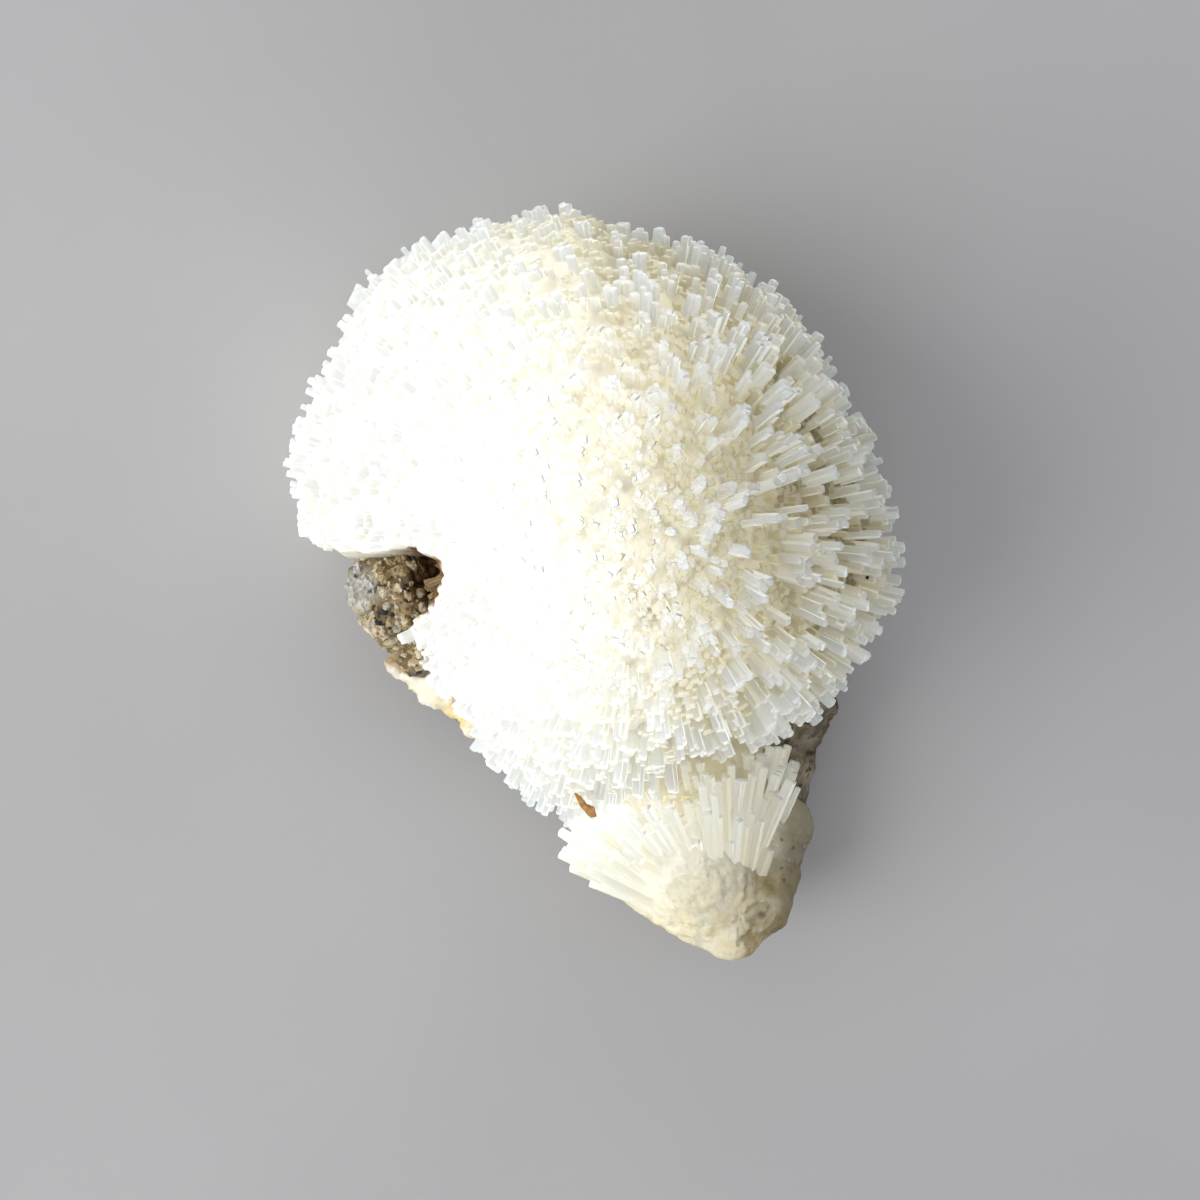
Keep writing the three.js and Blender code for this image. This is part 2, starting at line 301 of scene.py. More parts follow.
# Rubble in the notch
# The bared boss is a crumbly crust of grains, stuck together by weathering: most are ochre or tan, those at
# its outer end are clear and white, and a few are blue-black.
GRAIN_SORTS = ((40, 0.9 * MM, 1.8 * MM, 4), (240, 0.45 * MM, 0.95 * MM, 3), (900, 0.18 * MM, 0.45 * MM, 2))
GRAIN_SPREAD = np.array([1.35, 1.9])
GRAIN_SUNK = 0.45
GRAIN_PROUD = 0.6 * MM
ABOVE_ALL = 60 * MM
GRAIN_RELIEF = (("CLOUDS", 1.1 * MM, 1.3 * MM), ("VORONOI", 0.6 * MM, 0.5 * MM))
BLACK_GRAINS = np.array([-30.6, -6.0]) * MM
TAN_END = np.array([-32.0, -9.8]) * MM
GRAIN_TONES = [
    (0.00, (0.560, 0.440, 0.240)),
    (0.16, (0.700, 0.610, 0.420)),
    (0.34, (0.440, 0.310, 0.150)),
    (0.42, (0.790, 0.720, 0.550)),
    (0.60, (0.160, 0.098, 0.040)),
    (0.66, (0.720, 0.690, 0.590)),
    (0.82, (0.700, 0.705, 0.670)),
    (0.95, (0.040, 0.046, 0.055)),
]
CLEAR_KIND, SHADOW_KIND, BLACK_KIND = 0.88, 0.62, 0.98
BLACK_SIZE = 0.9 * MM
LARGE_GRAIN = 1.2 * MM


def unit(vectors):
    return vectors / np.linalg.norm(vectors, axis=-1, keepdims=True)


def form_of(piece):
    """A modelled piece as points, loops and corners of each face. The piece itself is taken away."""
    points = places(piece)
    loops = np.empty(len(piece.data.loops), dtype=np.int32)
    piece.data.loops.foreach_get("vertex_index", loops)
    corners = np.empty(len(piece.data.polygons), dtype=np.int32)
    piece.data.polygons.foreach_get("loop_total", corners)
    bpy.data.objects.remove(piece)
    return points, loops, corners


def joined_piece(name, parts):
    """One mesh object from a list of (points, loops, corners of each face)."""
    mesh = bpy.data.meshes.new(name)
    points = np.concatenate([part[0] for part in parts])
    offsets = np.cumsum([0] + [len(part[0]) for part in parts[:-1]])
    loops = np.concatenate([part[1] + offset for part, offset in zip(parts, offsets)])
    corners = np.concatenate([part[2] for part in parts])
    mesh.vertices.add(len(points))
    mesh.vertices.foreach_set("co", points.ravel())
    mesh.loops.add(len(loops))
    mesh.loops.foreach_set("vertex_index", loops.astype(np.int32))
    mesh.polygons.add(len(corners))
    starts = np.concatenate([[0], np.cumsum(corners)[:-1]])
    mesh.polygons.foreach_set("loop_start", starts.astype(np.int32))
    mesh.update(calc_edges=True)
    mesh.shade_flat()
    piece = bpy.data.objects.new(name, mesh)
    bpy.context.collection.objects.link(piece)
    return piece


def ball(name, subdivisions):
    bpy.ops.object.select_all(action="DESELECT")
    bpy.ops.mesh.primitive_ico_sphere_add(subdivisions=subdivisions, radius=1)
    bpy.context.object.name = name
    return bpy.context.object


def grain_form(subdivisions):
    grain = ball("grain", subdivisions)
    edit_whole(bpy.ops.transform.vertex_random, offset=0.32 / subdivisions, seed=subdivisions)
    return form_of(grain)


def turned_frames(rng, count):
    """Three axes at right angles for each of a number of things, turned at random."""
    first = unit(rng.normal(0, 1, (count, 3)))
    second = unit(np.cross(first, rng.normal(0, 1, (count, 3))))
    return np.stack([first, second, np.cross(first, second)], axis=1)


def seats_on(piece, spots, height):
    """Where straight drops on to a piece from a height land, and which of them land at all."""
    tree = BVHTree.FromObject(piece, bpy.context.evaluated_depsgraph_get())
    drops = [tree.ray_cast(Vector((x, y, height)), Vector((0, 0, -1)))[0] for x, y in spots]
    landed = np.array([drop is not None for drop in drops])
    return np.array([drop for drop in drops if drop is not None]), landed


def near(spots, centre, radius):
    return away(spots, centre) < radius


def notch_grains(seed):
    rng = np.random.default_rng(seed)
    parts, kinds = [], []
    for count, smallest, largest, subdivisions in GRAIN_SORTS:
        angle = rng.uniform(0, 2 * np.pi, count)
        spots = np.sqrt(rng.uniform(0, 1, count))[:, None] * np.stack([np.cos(angle), np.sin(angle)], axis=1)
        spots = NOTCH_CENTRE + (spots * NOTCH_HALF * GRAIN_SPREAD) @ NOTCH_AXES
        seats, landed = seats_on(rock, spots, ABOVE_ALL)
        size = rng.uniform(smallest, largest, count)[landed]
        stretch = rng.uniform(0.65, 1.2, (count, 3))[landed]
        axes = turned_frames(rng, count)[landed]
        kind = rng.uniform(0, 0.80, count)[landed] * np.where(size > LARGE_GRAIN, 0.65, 1.0)
        seats[:, 2] -= GRAIN_SUNK * size
        held = seats[:, 0] - size > LEFT_END - GRAIN_PROUD
        held &= (seats[:, :2] - TRIM_POINT) @ TRIM_WAY + size < GRAIN_PROUD
        seats, size, stretch, axes, kind = (value[held] for value in (seats, size, stretch, axes, kind))
        kind = np.where(near(seats, CLEAR_LUMPS, 2.8 * MM) & (kind < 0.6), CLEAR_KIND, kind)
        # Painted shade: grains round the notch's deep corner are painted dark brown.
        kind = np.where(near(seats, SHADOWED_CORNER, 3.2 * MM), SHADOW_KIND, kind)
        kind = np.where(near(seats, TAN_END, 3.0 * MM), np.where(kind < 0.4, 0.2, 0.5), kind)
        kind = np.where(near(seats, BLACK_GRAINS, 1.6 * MM) & (size < BLACK_SIZE), BLACK_KIND, kind)
        points, loops, corners = grain_form(subdivisions)
        shaped = (points * stretch[:, None, :]) @ axes * size[:, None, None] + seats[:, None, :]
        shift = (np.arange(len(seats)) * len(points))[:, None]
        parts.append((shaped.reshape(-1, 3), (loops + shift).ravel(), np.tile(corners, len(seats))))
        kinds.append(np.repeat(kind, len(points)))
    piece = joined_piece("notch_rubble", parts)
    add_attribute(piece, "kind", np.concatenate(kinds))
    roughen(piece, GRAIN_RELIEF)
    return piece


rubble = notch_grains(5)
grains = Finish("weathered grains")
grain_place = grains.place()
grain_tone = grains.ramp(grains.value("kind"), GRAIN_TONES, "CONSTANT")
mottle = grains.noise(grain_place, 900, 5, 0.65)
mottle_stops = [(0.30, (0.35, 0.30, 0.24)), (0.55, (1.0, 1.0, 1.0)), (0.80, (1.3, 1.25, 1.1))]
grains.colour(grains.blend(0.75, grain_tone, grains.ramp(mottle, mottle_stops), "MULTIPLY"))
grains.roughness(grains.band(mottle, -0.6, 1.1))
grains.normal(grains.bump(mottle, 0.4 * MM, 0.7))
rubble.data.materials.append(grains.material)
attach(rubble, "root")


# The dome's dense heart
# Below the free crystals the natrolite is one milky mass of needles grown tight against each other. Its tan
# is partly its own colour and partly painted shade, darker in its depths and towards the right, away from the
# light.
# A piece of it broke away on the left and left a notch down to the rock.
NUCLEUS = np.array([5.7, 6.2, 18.0]) * MM
DOME_REACH = np.array([
    38.3, 37.1, 37.3, 38.9, 42.0, 43.5, 45.0, 49.9, 51.6, 55.0, 53.2, 53.0,
    50.0, 43.0, 38.5, 38.5, 41.5, 44.0, 40.0, 36.3, 37.0, 38.0, 38.0, 39.7,
]) * MM
DOME_RISE = 38 * MM
DOME_SKIRT = 3 * MM
BROKEN_SHORT = 0.02
BED_SHALLOW, BED_DEEP = 2.8 * MM, 7.0 * MM
BED_WAY = np.array([0.80, -0.60, 0.0])
CORNER = np.array([-42.4, 6.6]) * MM
CORNER_WAY = np.array([-0.59, -0.81])


def azimuth_of(direction):
    return np.degrees(np.arctan2(direction[:, 1], direction[:, 0])) % 360


def elevation_of(direction):
    return np.degrees(np.arcsin(np.clip(direction[:, 2], -1, 1)))


def broken_face(direction):
    """1 where the crystals are broken short, between the notch and the fan, and 0 elsewhere."""
    azimuth = azimuth_of(direction)
    window = ease(188, 200, azimuth) * (1 - ease(228, 244, azimuth))
    return window * (1 - ease(24, 44, elevation_of(direction)))


def dome_reach(direction):
    place = azimuth_of(direction) / 360 * len(DOME_REACH)
    before = np.floor(place).astype(int) % len(DOME_REACH)
    after = (before + 1) % len(DOME_REACH)
    share = ease(0, 1, place - np.floor(place))
    side = DOME_REACH[before] * (1 - share) + DOME_REACH[after] * share
    up = np.clip(direction[:, 2], 0, None)
    whole = 1 / np.hypot(np.sqrt(1 - up**2) / side, up / DOME_RISE)
    return whole * (1 - BROKEN_SHORT * broken_face(direction))


def bed_depth(direction):
    """How far below the tips of the crystals the dense mass begins: deepest on the right and by the fan."""
    along = np.maximum(direction @ BED_WAY, 0.1 + 0.9 * direction[:, 0])
    return BED_SHALLOW + (BED_DEEP - BED_SHALLOW) * ease(-0.2, 0.8, along)


def wobble(direction, step, seed):
    phase = np.random.default_rng(seed).uniform(0, 2 * np.pi, (4, 3))
    waves = [np.sin(step * (1 + 0.6 * k) * direction + phase[k]).prod(axis=1) for k in range(4)]
    return np.sum(waves, axis=0)


def notch_limit(direction, grown):
    """Distance from the nucleus to the wall of the notch, grown by a share, and infinity beside it."""
    half = NOTCH_HALF * np.reshape(grown, (-1, 1))
    start = (NUCLEUS[:2] - NOTCH_CENTRE) @ NOTCH_AXES.T / half
    slope = direction[:, :2] @ NOTCH_AXES.T / half
    a = (slope**2).sum(axis=1) + 1e-12
    b = 2 * (slope * start).sum(axis=1)
    c = (start**2).sum(axis=1) - 1
    under = b * b - 4 * a * c
    entry = (-b - np.sqrt(np.clip(under, 0, None))) / (2 * a)
    return np.where((under > 0) & (entry > 0), entry, np.inf)


def corner_limit(direction):
    """Distance from the nucleus to the slanting edge above the notch, and infinity away from it."""
    azimuth = azimuth_of(direction)
    facing = direction[:, :2] @ CORNER_WAY
    edge = ((CORNER - NUCLEUS[:2]) @ CORNER_WAY) / np.clip(facing, 1e-6, None)
    return np.where((azimuth > 165) & (azimuth < 192), edge, np.inf)


heart = ball("dome_heart", 7)
heart_ray = unit(places(heart))
heart_reach = dome_reach(heart_ray) - bed_depth(heart_ray) + 0.35 * MM * wobble(heart_ray, 14, 1)
heart_reach = np.minimum(heart_reach, corner_limit(heart_ray) - 1.5 * MM)
notch_wall = notch_limit(heart_ray, 1.0 + 0.05 * wobble(heart_ray, 40, 2))
# The notch's wall, under the heart's overhang, is painted brown: partly stain and partly painted shade.
heart_stain_and_shade = ease(-1.0 * MM, 1.2 * MM, heart_reach - notch_wall)
heart_reach = np.minimum(heart_reach, notch_wall)
falling = np.clip(-heart_ray[:, 2], 1e-6, None)
heart_reach = np.minimum(heart_reach, (NUCLEUS[2] - DOME_SKIRT) / falling)
move_to(heart, NUCLEUS + heart_ray * heart_reach[:, None])
roughen(heart, (("CLOUDS", 2.2 * MM, 0.7 * MM),))
heart.data.shade_smooth()

# Tan and painted shade by depth: near white at the tips and where the light falls, darker and browner deep
# between the crystals and on the side away from the light.
TAN_AND_SHADE_RAMP = [
    (0.00, (0.935, 0.945, 0.940)),
    (0.25, (0.905, 0.885, 0.785)),
    (0.50, (0.800, 0.745, 0.545)),
    (0.75, (0.650, 0.585, 0.395)),
    (1.00, (0.380, 0.325, 0.205)),
]
# The way to the side that lies away from the light, where the mass is painted darker.
SHADED_SIDE_WAY = np.array([0.98, 0.16, 0.0])
BROWN_STAIN_AND_SHADE = (0.130, 0.070, 0.026)
DUST_TONE = (0.05, 0.035, 0.02)
LIFT = 0.2


def tan_and_shade_of(direction):
    """How tan the mass is painted, partly its own colour and partly painted shade: milky on the left where the
    light falls, tan on the right and darker still along that rim.
    """
    side = direction @ SHADED_SIDE_WAY
    return 0.10 + 0.40 * ease(-0.65, 0.35, side) + 0.50 * ease(0.38, 0.85, side)


def lifted(ray, share):
    """The side that a crystal takes its light from: along its ray, but turned up by a share."""
    return unit(ray + np.array([0.0, 0.0, share]))


def dust_group():
    """Dark specks of dust, few and far between, laid over a colour."""
    group = bpy.data.node_groups.new("stray dust", "ShaderNodeTree")
    group.interface.new_socket("Color", in_out="INPUT", socket_type="NodeSocketColor")
    group.interface.new_socket("Color", in_out="OUTPUT", socket_type="NodeSocketColor")
    nodes = Nodes(group)
    bare = nodes.node("NodeGroupInput").outputs["Color"]
    specks = nodes.cells(nodes.place(), 190)
    size = nodes.band(specks.outputs["Distance"], 0.045, 0.065)
    picked = nodes.math("LESS_THAN", specks.outputs["Color"], 0.90)
    dusty = nodes.blend(nodes.math("MAXIMUM", size, picked), DUST_TONE, bare)
    nodes.node("NodeGroupOutput", {"Color": dusty})
    return group


DUST = dust_group()


def dusted(finish, colour):
    return finish.node("ShaderNodeGroup", {"Color": colour}, node_tree=DUST).outputs["Color"]


def milky_colour(finish, ray):
    """The mass seen close: fine needles along its rays and cloudy patches."""
    # Tan and painted shade by depth.
    colour = finish.ramp(finish.value("depth"), TAN_AND_SHADE_RAMP)
    colour = finish.blend(finish.value("veil"), colour, (0.730, 0.715, 0.610))
    needle_stops = [(0.30, (0.88, 0.86, 0.80)), (0.70, (1.0, 1.0, 1.0))]
    colour = finish.blend(0.5, colour, finish.ramp(finish.noise(ray, 70, 3, 0.6), needle_stops), "MULTIPLY")
    cloud_stops = [(0.32, (0.88, 0.88, 0.86)), (0.55, (1.0, 1.0, 1.0))]
    clouds = finish.ramp(finish.noise(finish.place(), 260, 4, 0.6), cloud_stops)
    colour = finish.blend(0.6, colour, clouds, "MULTIPLY")
    ends = finish.cells(ray, 44)
    end_stops = [(0.15, (0.84, 0.81, 0.73)), (0.5, (0.97, 0.965, 0.945)), (0.85, (1.06, 1.06, 1.06))]
    return finish.blend(0.8, colour, finish.ramp(ends.outputs["Color"], end_stops), "MULTIPLY")


milk = Finish("dense natrolite")
milk_ray = milk.vector("ray")
# The brown on the notch's wall is partly stain and partly painted shade.
milk_colour = milk.blend(milk.value("stain"), milky_colour(milk, milk_ray), BROWN_STAIN_AND_SHADE)
milk_facing = milk.light_along(milk_ray, dusted(milk, milk_colour))
milk_grain = milk.noise(milk.place(), 1100, 3, 0.6)
milk.roughness(milk.band(milk_grain, 0.05, 1.0))
milk.set(Specular_IOR_Level=0.2, Coat_Weight=0.08, Coat_Roughness=0.12)
milk.normal(milk.bump(milk_grain, 0.2 * MM, 0.4, milk_facing))

# Painted shade as well as tan: the heart is painted darker towards the right and its rim, away from the light.
heart_tan_and_shade = tan_and_shade_of(heart_ray) * (1 - 0.5 * broken_face(heart_ray)) + 0.05 * wobble(heart_ray, 22, 3)
add_attribute(heart, "depth", np.clip(heart_tan_and_shade, 0, 1))
heart_ray[:, 2] = np.maximum(heart_ray[:, 2], 0.0)
add_attribute(heart, "ray", lifted(heart_ray, LIFT))
add_attribute(heart, "stain", heart_stain_and_shade)
heart.data.materials.append(milk.material)
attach(heart, "root")


# The dome's free crystals
# Slender square prisms of natrolite, blunt or with a low pyramid, standing in sheaves that all point away
# from the heart. Their ends are white and frosted; lower down they grow clear and turn tan, partly the mass's
# own colour and partly painted shade, darker the deeper they sit and the further right, away from the light.
GOLDEN_ANGLE = math.pi * (3 - math.sqrt(5))
FLOOR_CLEARANCE = 2.2 * MM
ROOTED = 1.6 * MM
DOME_LOWEST = -20
SHORTEST_PRISM = 0.8 * MM
CHIP_AROUND = 1.5 * MM
SPLAY = 0.22
SPLINTER_FROM = np.array([-3.7, -29.6]) * MM
SPLINTER_TO = np.array([-0.7, -33.2]) * MM


def crystal_form(name, edge, inset, rise, lean):
    """One crystal of unit width and length from z 0 to 1, whose blunt end stands above that."""
    bpy.ops.object.select_all(action="DESELECT")
    bpy.ops.mesh.primitive_cube_add(size=1, location=(0, 0, 0.5))
    form = bpy.context.object
    form.name = name
    bpy.ops.object.transform_apply(location=True)
    bpy.ops.object.mode_set(mode="EDIT")
    bpy.ops.mesh.select_mode(type="EDGE")
    bpy.ops.mesh.select_all(action="DESELECT")
    bpy.ops.object.mode_set(mode="OBJECT")
    for side in form.data.edges:
        low, high = (form.data.vertices[v].co for v in side.vertices)
        side.select = abs(low.z - high.z) > 0.5
    bpy.ops.object.mode_set(mode="EDIT")
    if edge:
        bpy.ops.mesh.bevel(offset=edge, segments=1)
    bpy.ops.mesh.select_mode(type="FACE")
    bpy.ops.mesh.select_all(action="DESELECT")
    bpy.ops.object.mode_set(mode="OBJECT")
    for face in form.data.polygons:
        face.select = face.normal.z > 0.9
    bpy.ops.object.mode_set(mode="EDIT")
    bpy.ops.mesh.inset(thickness=inset)
    bpy.ops.transform.translate(value=(0, 0, rise))
    if lean:
        bpy.ops.transform.rotate(value=lean, orient_axis="X", center_override=(0, 0, 1 + rise))
    bpy.ops.object.mode_set(mode="OBJECT")
    return form_of(form)


CRYSTAL_FORMS = [
    crystal_form("blunt", 0.14, 0.16, 0.10, 0.0),
    crystal_form("pyramid", 0.0, 0.30, 0.15, 0.0),
    crystal_form("slanted", 0.0, 0.18, 0.18, 0.22),
    crystal_form("stub", 0.0, 0.20, 0.08, 0.0),
]
BLUNT, PYRAMID, SLANTED = range(3)


def grow_crystals(name, foot, axis, length, width, twist, taper, form, tan_and_shade, ground, lift, seed):
    """All crystals of a spray as one piece. Each turns from its own tan and painted shade into the ground's at
    its foot.
    """
    rng = np.random.default_rng(seed)
    helper = np.where(np.abs(axis[:, 2:]) < 0.9, [[0.0, 0.0, 1.0]], [[1.0, 0.0, 0.0]])
    across = unit(np.cross(axis, helper))
    beside = np.cross(axis, across)
    side_a = np.cos(twist)[:, None] * across + np.sin(twist)[:, None] * beside
    side_b = np.cross(axis, side_a)
    tint = rng.uniform(0.4 * (1 - ease(-0.4, 0.3, axis @ SHADED_SIDE_WAY)), 0.8)
    clear = 1 - ease(0.02, 0.18, axis[:, 2])
    parts, depths, tints, grains, rays = [], [], [], [], []
    for number, (points, loops, sides) in enumerate(CRYSTAL_FORMS):
        chosen = np.flatnonzero(form == number)
        if not len(chosen):
            continue
        along = np.clip(points[:, 2], 0, 1)
        cap = np.clip(points[:, 2] - 1, 0, None)
        run = length[chosen, None] * along + width[chosen, None] * cap
        girth = width[chosen, None] * (1 + (taper[chosen, None] - 1) * along)
        where = (
            foot[chosen, None, :]
            + axis[chosen, None, :] * run[..., None]
            + side_a[chosen, None, :] * (girth * points[:, 0])[..., None]
            + side_b[chosen, None, :] * (girth * points[:, 1])[..., None]
        )
        shift = (np.arange(len(chosen)) * len(points))[:, None]
        parts.append((where.reshape(-1, 3), (loops + shift).ravel(), np.tile(sides, len(chosen))))
        tan_and_shade_along = ground[chosen, None] + (tan_and_shade - ground)[chosen, None] * along
        depths.append(np.clip(tan_and_shade_along, 0, 1).ravel())
        tints.append((tint[chosen, None] + (1 - tint[chosen, None]) * clear[chosen, None] * along).ravel())
        rays.append(np.repeat(lifted(axis[chosen], lift), len(points), axis=0))
        grain = np.stack([girth * points[:, 0], girth * points[:, 1], run], axis=-1) / MM
        grains.append((grain + 40 * tint[chosen, None, None]).reshape(-1, 3))
    piece = joined_piece(name, parts)
    add_attribute(piece, "depth", np.concatenate(depths))
    add_attribute(piece, "tint", np.concatenate(tints))
    add_attribute(piece, "ray", np.concatenate(rays))
    add_attribute(piece, "grain", np.concatenate(grains))
    return piece


def spread(count, lowest):
    number = np.arange(count)
    z = 1 - (1 - math.sin(math.radians(lowest))) * (number + 0.5) / count
    level = np.sqrt(1 - z * z)
    turn = number * GOLDEN_ANGLE
    return np.stack([level * np.cos(turn), level * np.sin(turn), z], axis=1)


def sheaves(ray, rng, crowd, girth):
    """Splits each ray into a sheaf of crystals side by side: whose, moved how far, width and twist."""
    members = rng.integers(crowd[0], crowd[1] + 1, len(ray))
    owner = np.repeat(np.arange(len(ray)), members)
    twist = rng.uniform(0, np.pi / 2, len(ray))[owner]
    thick = rng.uniform(girth[0], girth[1], len(ray))[owner]
    rank = np.concatenate([np.arange(count) for count in members])
    ring = np.sqrt(rank) * 0.72
    turn = rank * GOLDEN_ANGLE + twist
    step = np.round(np.stack([ring * np.cos(turn), ring * np.sin(turn)], axis=1) * 1.4) / 1.4
    step *= thick[:, None] * 1.02
    axis = ray[owner]
    level = np.where(np.abs(axis[:, 2:]) < 0.9, [[0.0, 0.0, 1.0]], [[1.0, 0.0, 0.0]])
    across = unit(np.cross(axis, level))
    offset = step[:, :1] * across + step[:, 1:] * np.cross(axis, across)
    width = thick * rng.uniform(0.72, 1.15, len(owner))
    return owner, offset, width, twist


def under_splinter(foot, axis, tip):
    """Shortens the crystals that would stand through the chip that lies on them."""
    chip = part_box("rusty_splinter")
    seat = chip[0][2] + 0.35 * (chip[1][2] - chip[0][2])
    run = SPLINTER_TO - SPLINTER_FROM
    kept = tip.copy()
    for share in np.linspace(1.0, 0.5, 26):
        spot = foot + axis * (tip * share)[:, None]
        along = np.clip(((spot[:, :2] - SPLINTER_FROM) @ run) / (run @ run), 0, 1)
        aside = np.linalg.norm(spot[:, :2] - SPLINTER_FROM - along[:, None] * run, axis=1)
        blocked = (aside < CHIP_AROUND) & (spot[:, 2] > seat)
        kept = np.where(blocked, np.minimum(kept, tip * (share - 0.02)), kept)
    return kept


def dome_crystals(name, count, jitter, crowd, girth, sunk, proud, forms, seed):
    """Sheaves all over the dome, even in length on the left; on the right some stand proud of the rest."""
    rng = np.random.default_rng(seed)
    ray = unit(spread(count, DOME_LOWEST) + rng.normal(0, jitter, (count, 3)))
    owner, offset, width, twist = sheaves(ray, rng, crowd, girth)
    axis = ray[owner]
    reach, bed = dome_reach(axis), bed_depth(axis)
    lot = rng.uniform(0, 1, count)
    even = sunk[0] + (sunk[1] - sunk[0]) * lot
    apart = np.where(lot < proud, 0.5 * lot, 0.60 + 0.32 * lot)
    to_right = ease(-0.15, 0.40, ray @ SHADED_SIDE_WAY)
    at_rim = 0.8 * (1 - ease(0.0, 0.3, ray[:, 2]))
    sheaf_sunk = even + (apart - even) * np.maximum(to_right, at_rim)
    uneven = (0.19 + 0.1 * to_right) * (1 - 0.7 * sheaf_sunk)
    deep = sheaf_sunk[owner] + uneven[owner] * np.abs(rng.normal(0, 1, len(axis)))
    width = width * (1 + 0.22 * to_right[owner])
    tip = reach - deep * bed
    wall = notch_limit(unit(axis * tip[:, None] + offset), rng.uniform(1.02, 1.2, len(axis)))
    tip = np.minimum(tip, wall - 0.4 * MM)
    tip = np.minimum(tip, corner_limit(axis) - rng.uniform(-0.4, 1.6, len(axis)) * MM)
    tip = np.minimum(tip, (NUCLEUS[2] - FLOOR_CLEARANCE) / np.clip(-axis[:, 2], 1e-6, None))
    root = reach - bed - ROOTED
    outward = unit(axis * np.array([1.0, 1.0, 0.0]) + 1e-9)
    lean = unit(axis + SPLAY * to_right[owner, None] * outward + rng.normal(0, 0.03, axis.shape))
    foot = NUCLEUS + axis * root[:, None] + offset
    length = under_splinter(foot, lean, tip - root)
    azimuth = azimuth_of(axis)
    by_the_fan = (azimuth > 250) & (azimuth < 318) & (elevation_of(axis) < -15)
    kept = (length > SHORTEST_PRISM) & ~by_the_fan
    form = rng.choice(len(forms), len(axis), p=forms)
    taper = rng.uniform(0.78, 0.97, len(axis))
    # Painted shade: crystals sunk deeper among the others are painted darker and browner, over the mass's tan.
    ground = tan_and_shade_of(axis)
    tan_and_shade = ground * (0.05 + 0.95 * ease(0.15, 0.85, deep))
    values = (foot, lean, length, width, twist, taper, form, tan_and_shade, 0.5 * ground + 0.5 * tan_and_shade)
    return grow_crystals(name, *(value[kept] for value in values), LIFT, seed + 1)


crystal = Finish("natrolite prisms")
crystal_grain = crystal.vector("grain")
frost = crystal.noise(crystal_grain, 2.2, 4, 0.6)
# Tan and painted shade by depth, as in the dense mass.
crystal_colour = crystal.ramp(crystal.value("depth"), TAN_AND_SHADE_RAMP)
tint_stops = [
    (0.0, (0.90, 0.88, 0.83)),
    (0.30, (0.97, 0.96, 0.93)),
    (0.80, (0.985, 1.0, 1.01)),
    (1.0, (0.93, 0.96, 0.96)),
]
tint = crystal.ramp(crystal.value("tint"), tint_stops)
crystal_colour = crystal.blend(1.0, crystal_colour, tint, "MULTIPLY")
frost_stops = [(0.35, (0.90, 0.90, 0.89)), (0.60, (1.0, 1.0, 1.0))]
crystal_colour = crystal.blend(0.7, crystal_colour, crystal.ramp(frost, frost_stops), "MULTIPLY")
striation = crystal.noise(crystal.stretched(crystal_grain, (5.0, 5.0, 0.25)), 1.0, 3, 0.6)
crystal.roughness(crystal.band(frost, -0.05, 1.4))
crystal.set(Specular_IOR_Level=0.12, Coat_Weight=0.05, Coat_Roughness=0.15)
crystal_facing = crystal.light_along(crystal.vector("ray"), dusted(crystal, crystal_colour))
crystal.normal(crystal.bump(striation, 0.12 * MM, 0.12, crystal_facing))

long_crystals = dome_crystals(
    "dome_prisms",
    2400,
    jitter=0.035,
    crowd=(1, 3),
    girth=(0.72 * MM, 1.15 * MM),
    sunk=(0.0, 0.75),
    proud=0.58,
    forms=(0.36, 0.30, 0.34, 0.0),
    seed=11,
)
short_crystals = dome_crystals(
    "dome_undergrowth",
    3000,
    jitter=0.03,
    crowd=(1, 4),
    girth=(0.72 * MM, 1.15 * MM),
    sunk=(0.4, 0.9),
    proud=0.0,
    forms=(0.0, 0.0, 0.0, 1.0),
    seed=23,
)
for piece in (long_crystals, short_crystals):
    piece.visible_shadow = False
    piece.visible_diffuse = False
    piece.data.materials.append(crystal.material)
    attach(piece, "root")
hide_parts("main_spray")


# Laths in the notch
# Flat splinters of crystal that broke off with the missing piece: stained tan, they lie side by side on the
# rubble and point out of the notch's deep corner.
LATH_COUNT = 5
LATH_FROM = np.array([-24.4, -1.9, 28.4]) * MM
LATH_TO = np.array([-20.8, -0.1, 30.0]) * MM

lath_rng = np.random.default_rng(31)
lath_foot = np.tile(LATH_FROM, (LATH_COUNT, 1))
lath_foot[:, 0] += lath_rng.normal(0, 0.4, LATH_COUNT) * MM
lath_foot[:, 1] += lath_rng.normal(0, 1.0, LATH_COUNT) * MM
lath_foot[:, 2] += lath_rng.uniform(-0.8, 0.6, LATH_COUNT) * MM
lath_run = LATH_TO - LATH_FROM
lath_axis = unit(lath_run / np.linalg.norm(lath_run) + lath_rng.normal(0, 0.14, (LATH_COUNT, 3)))
laths = grow_crystals(
    "notch_laths",
    lath_foot,
    lath_axis,
    np.linalg.norm(lath_run) * lath_rng.uniform(0.6, 1.1, LATH_COUNT),
    lath_rng.uniform(0.55, 0.9, LATH_COUNT) * MM,
    lath_rng.uniform(0, 1.5, LATH_COUNT),
    lath_rng.uniform(0.6, 0.9, LATH_COUNT),
    lath_rng.choice([BLUNT, PYRAMID, SLANTED], LATH_COUNT),
    np.ones(LATH_COUNT),
    np.ones(LATH_COUNT),
    LIFT,
    32,
)
tan_lath = Finish("stained laths")
fibre = tan_lath.noise(tan_lath.stretched(tan_lath.vector("grain"), (6.0, 6.0, 0.4)), 1.0, 4, 0.65)
lath_stops = [(0.30, (0.150, 0.085, 0.032)), (0.50, (0.420, 0.290, 0.130)), (0.72, (0.620, 0.500, 0.290))]
tan_lath.colour(tan_lath.ramp(fibre, lath_stops))
tan_lath.roughness(tan_lath.band(fibre, -0.6, 1.2))
tan_lath.normal(tan_lath.bump(fibre, 0.15 * MM, 0.8))
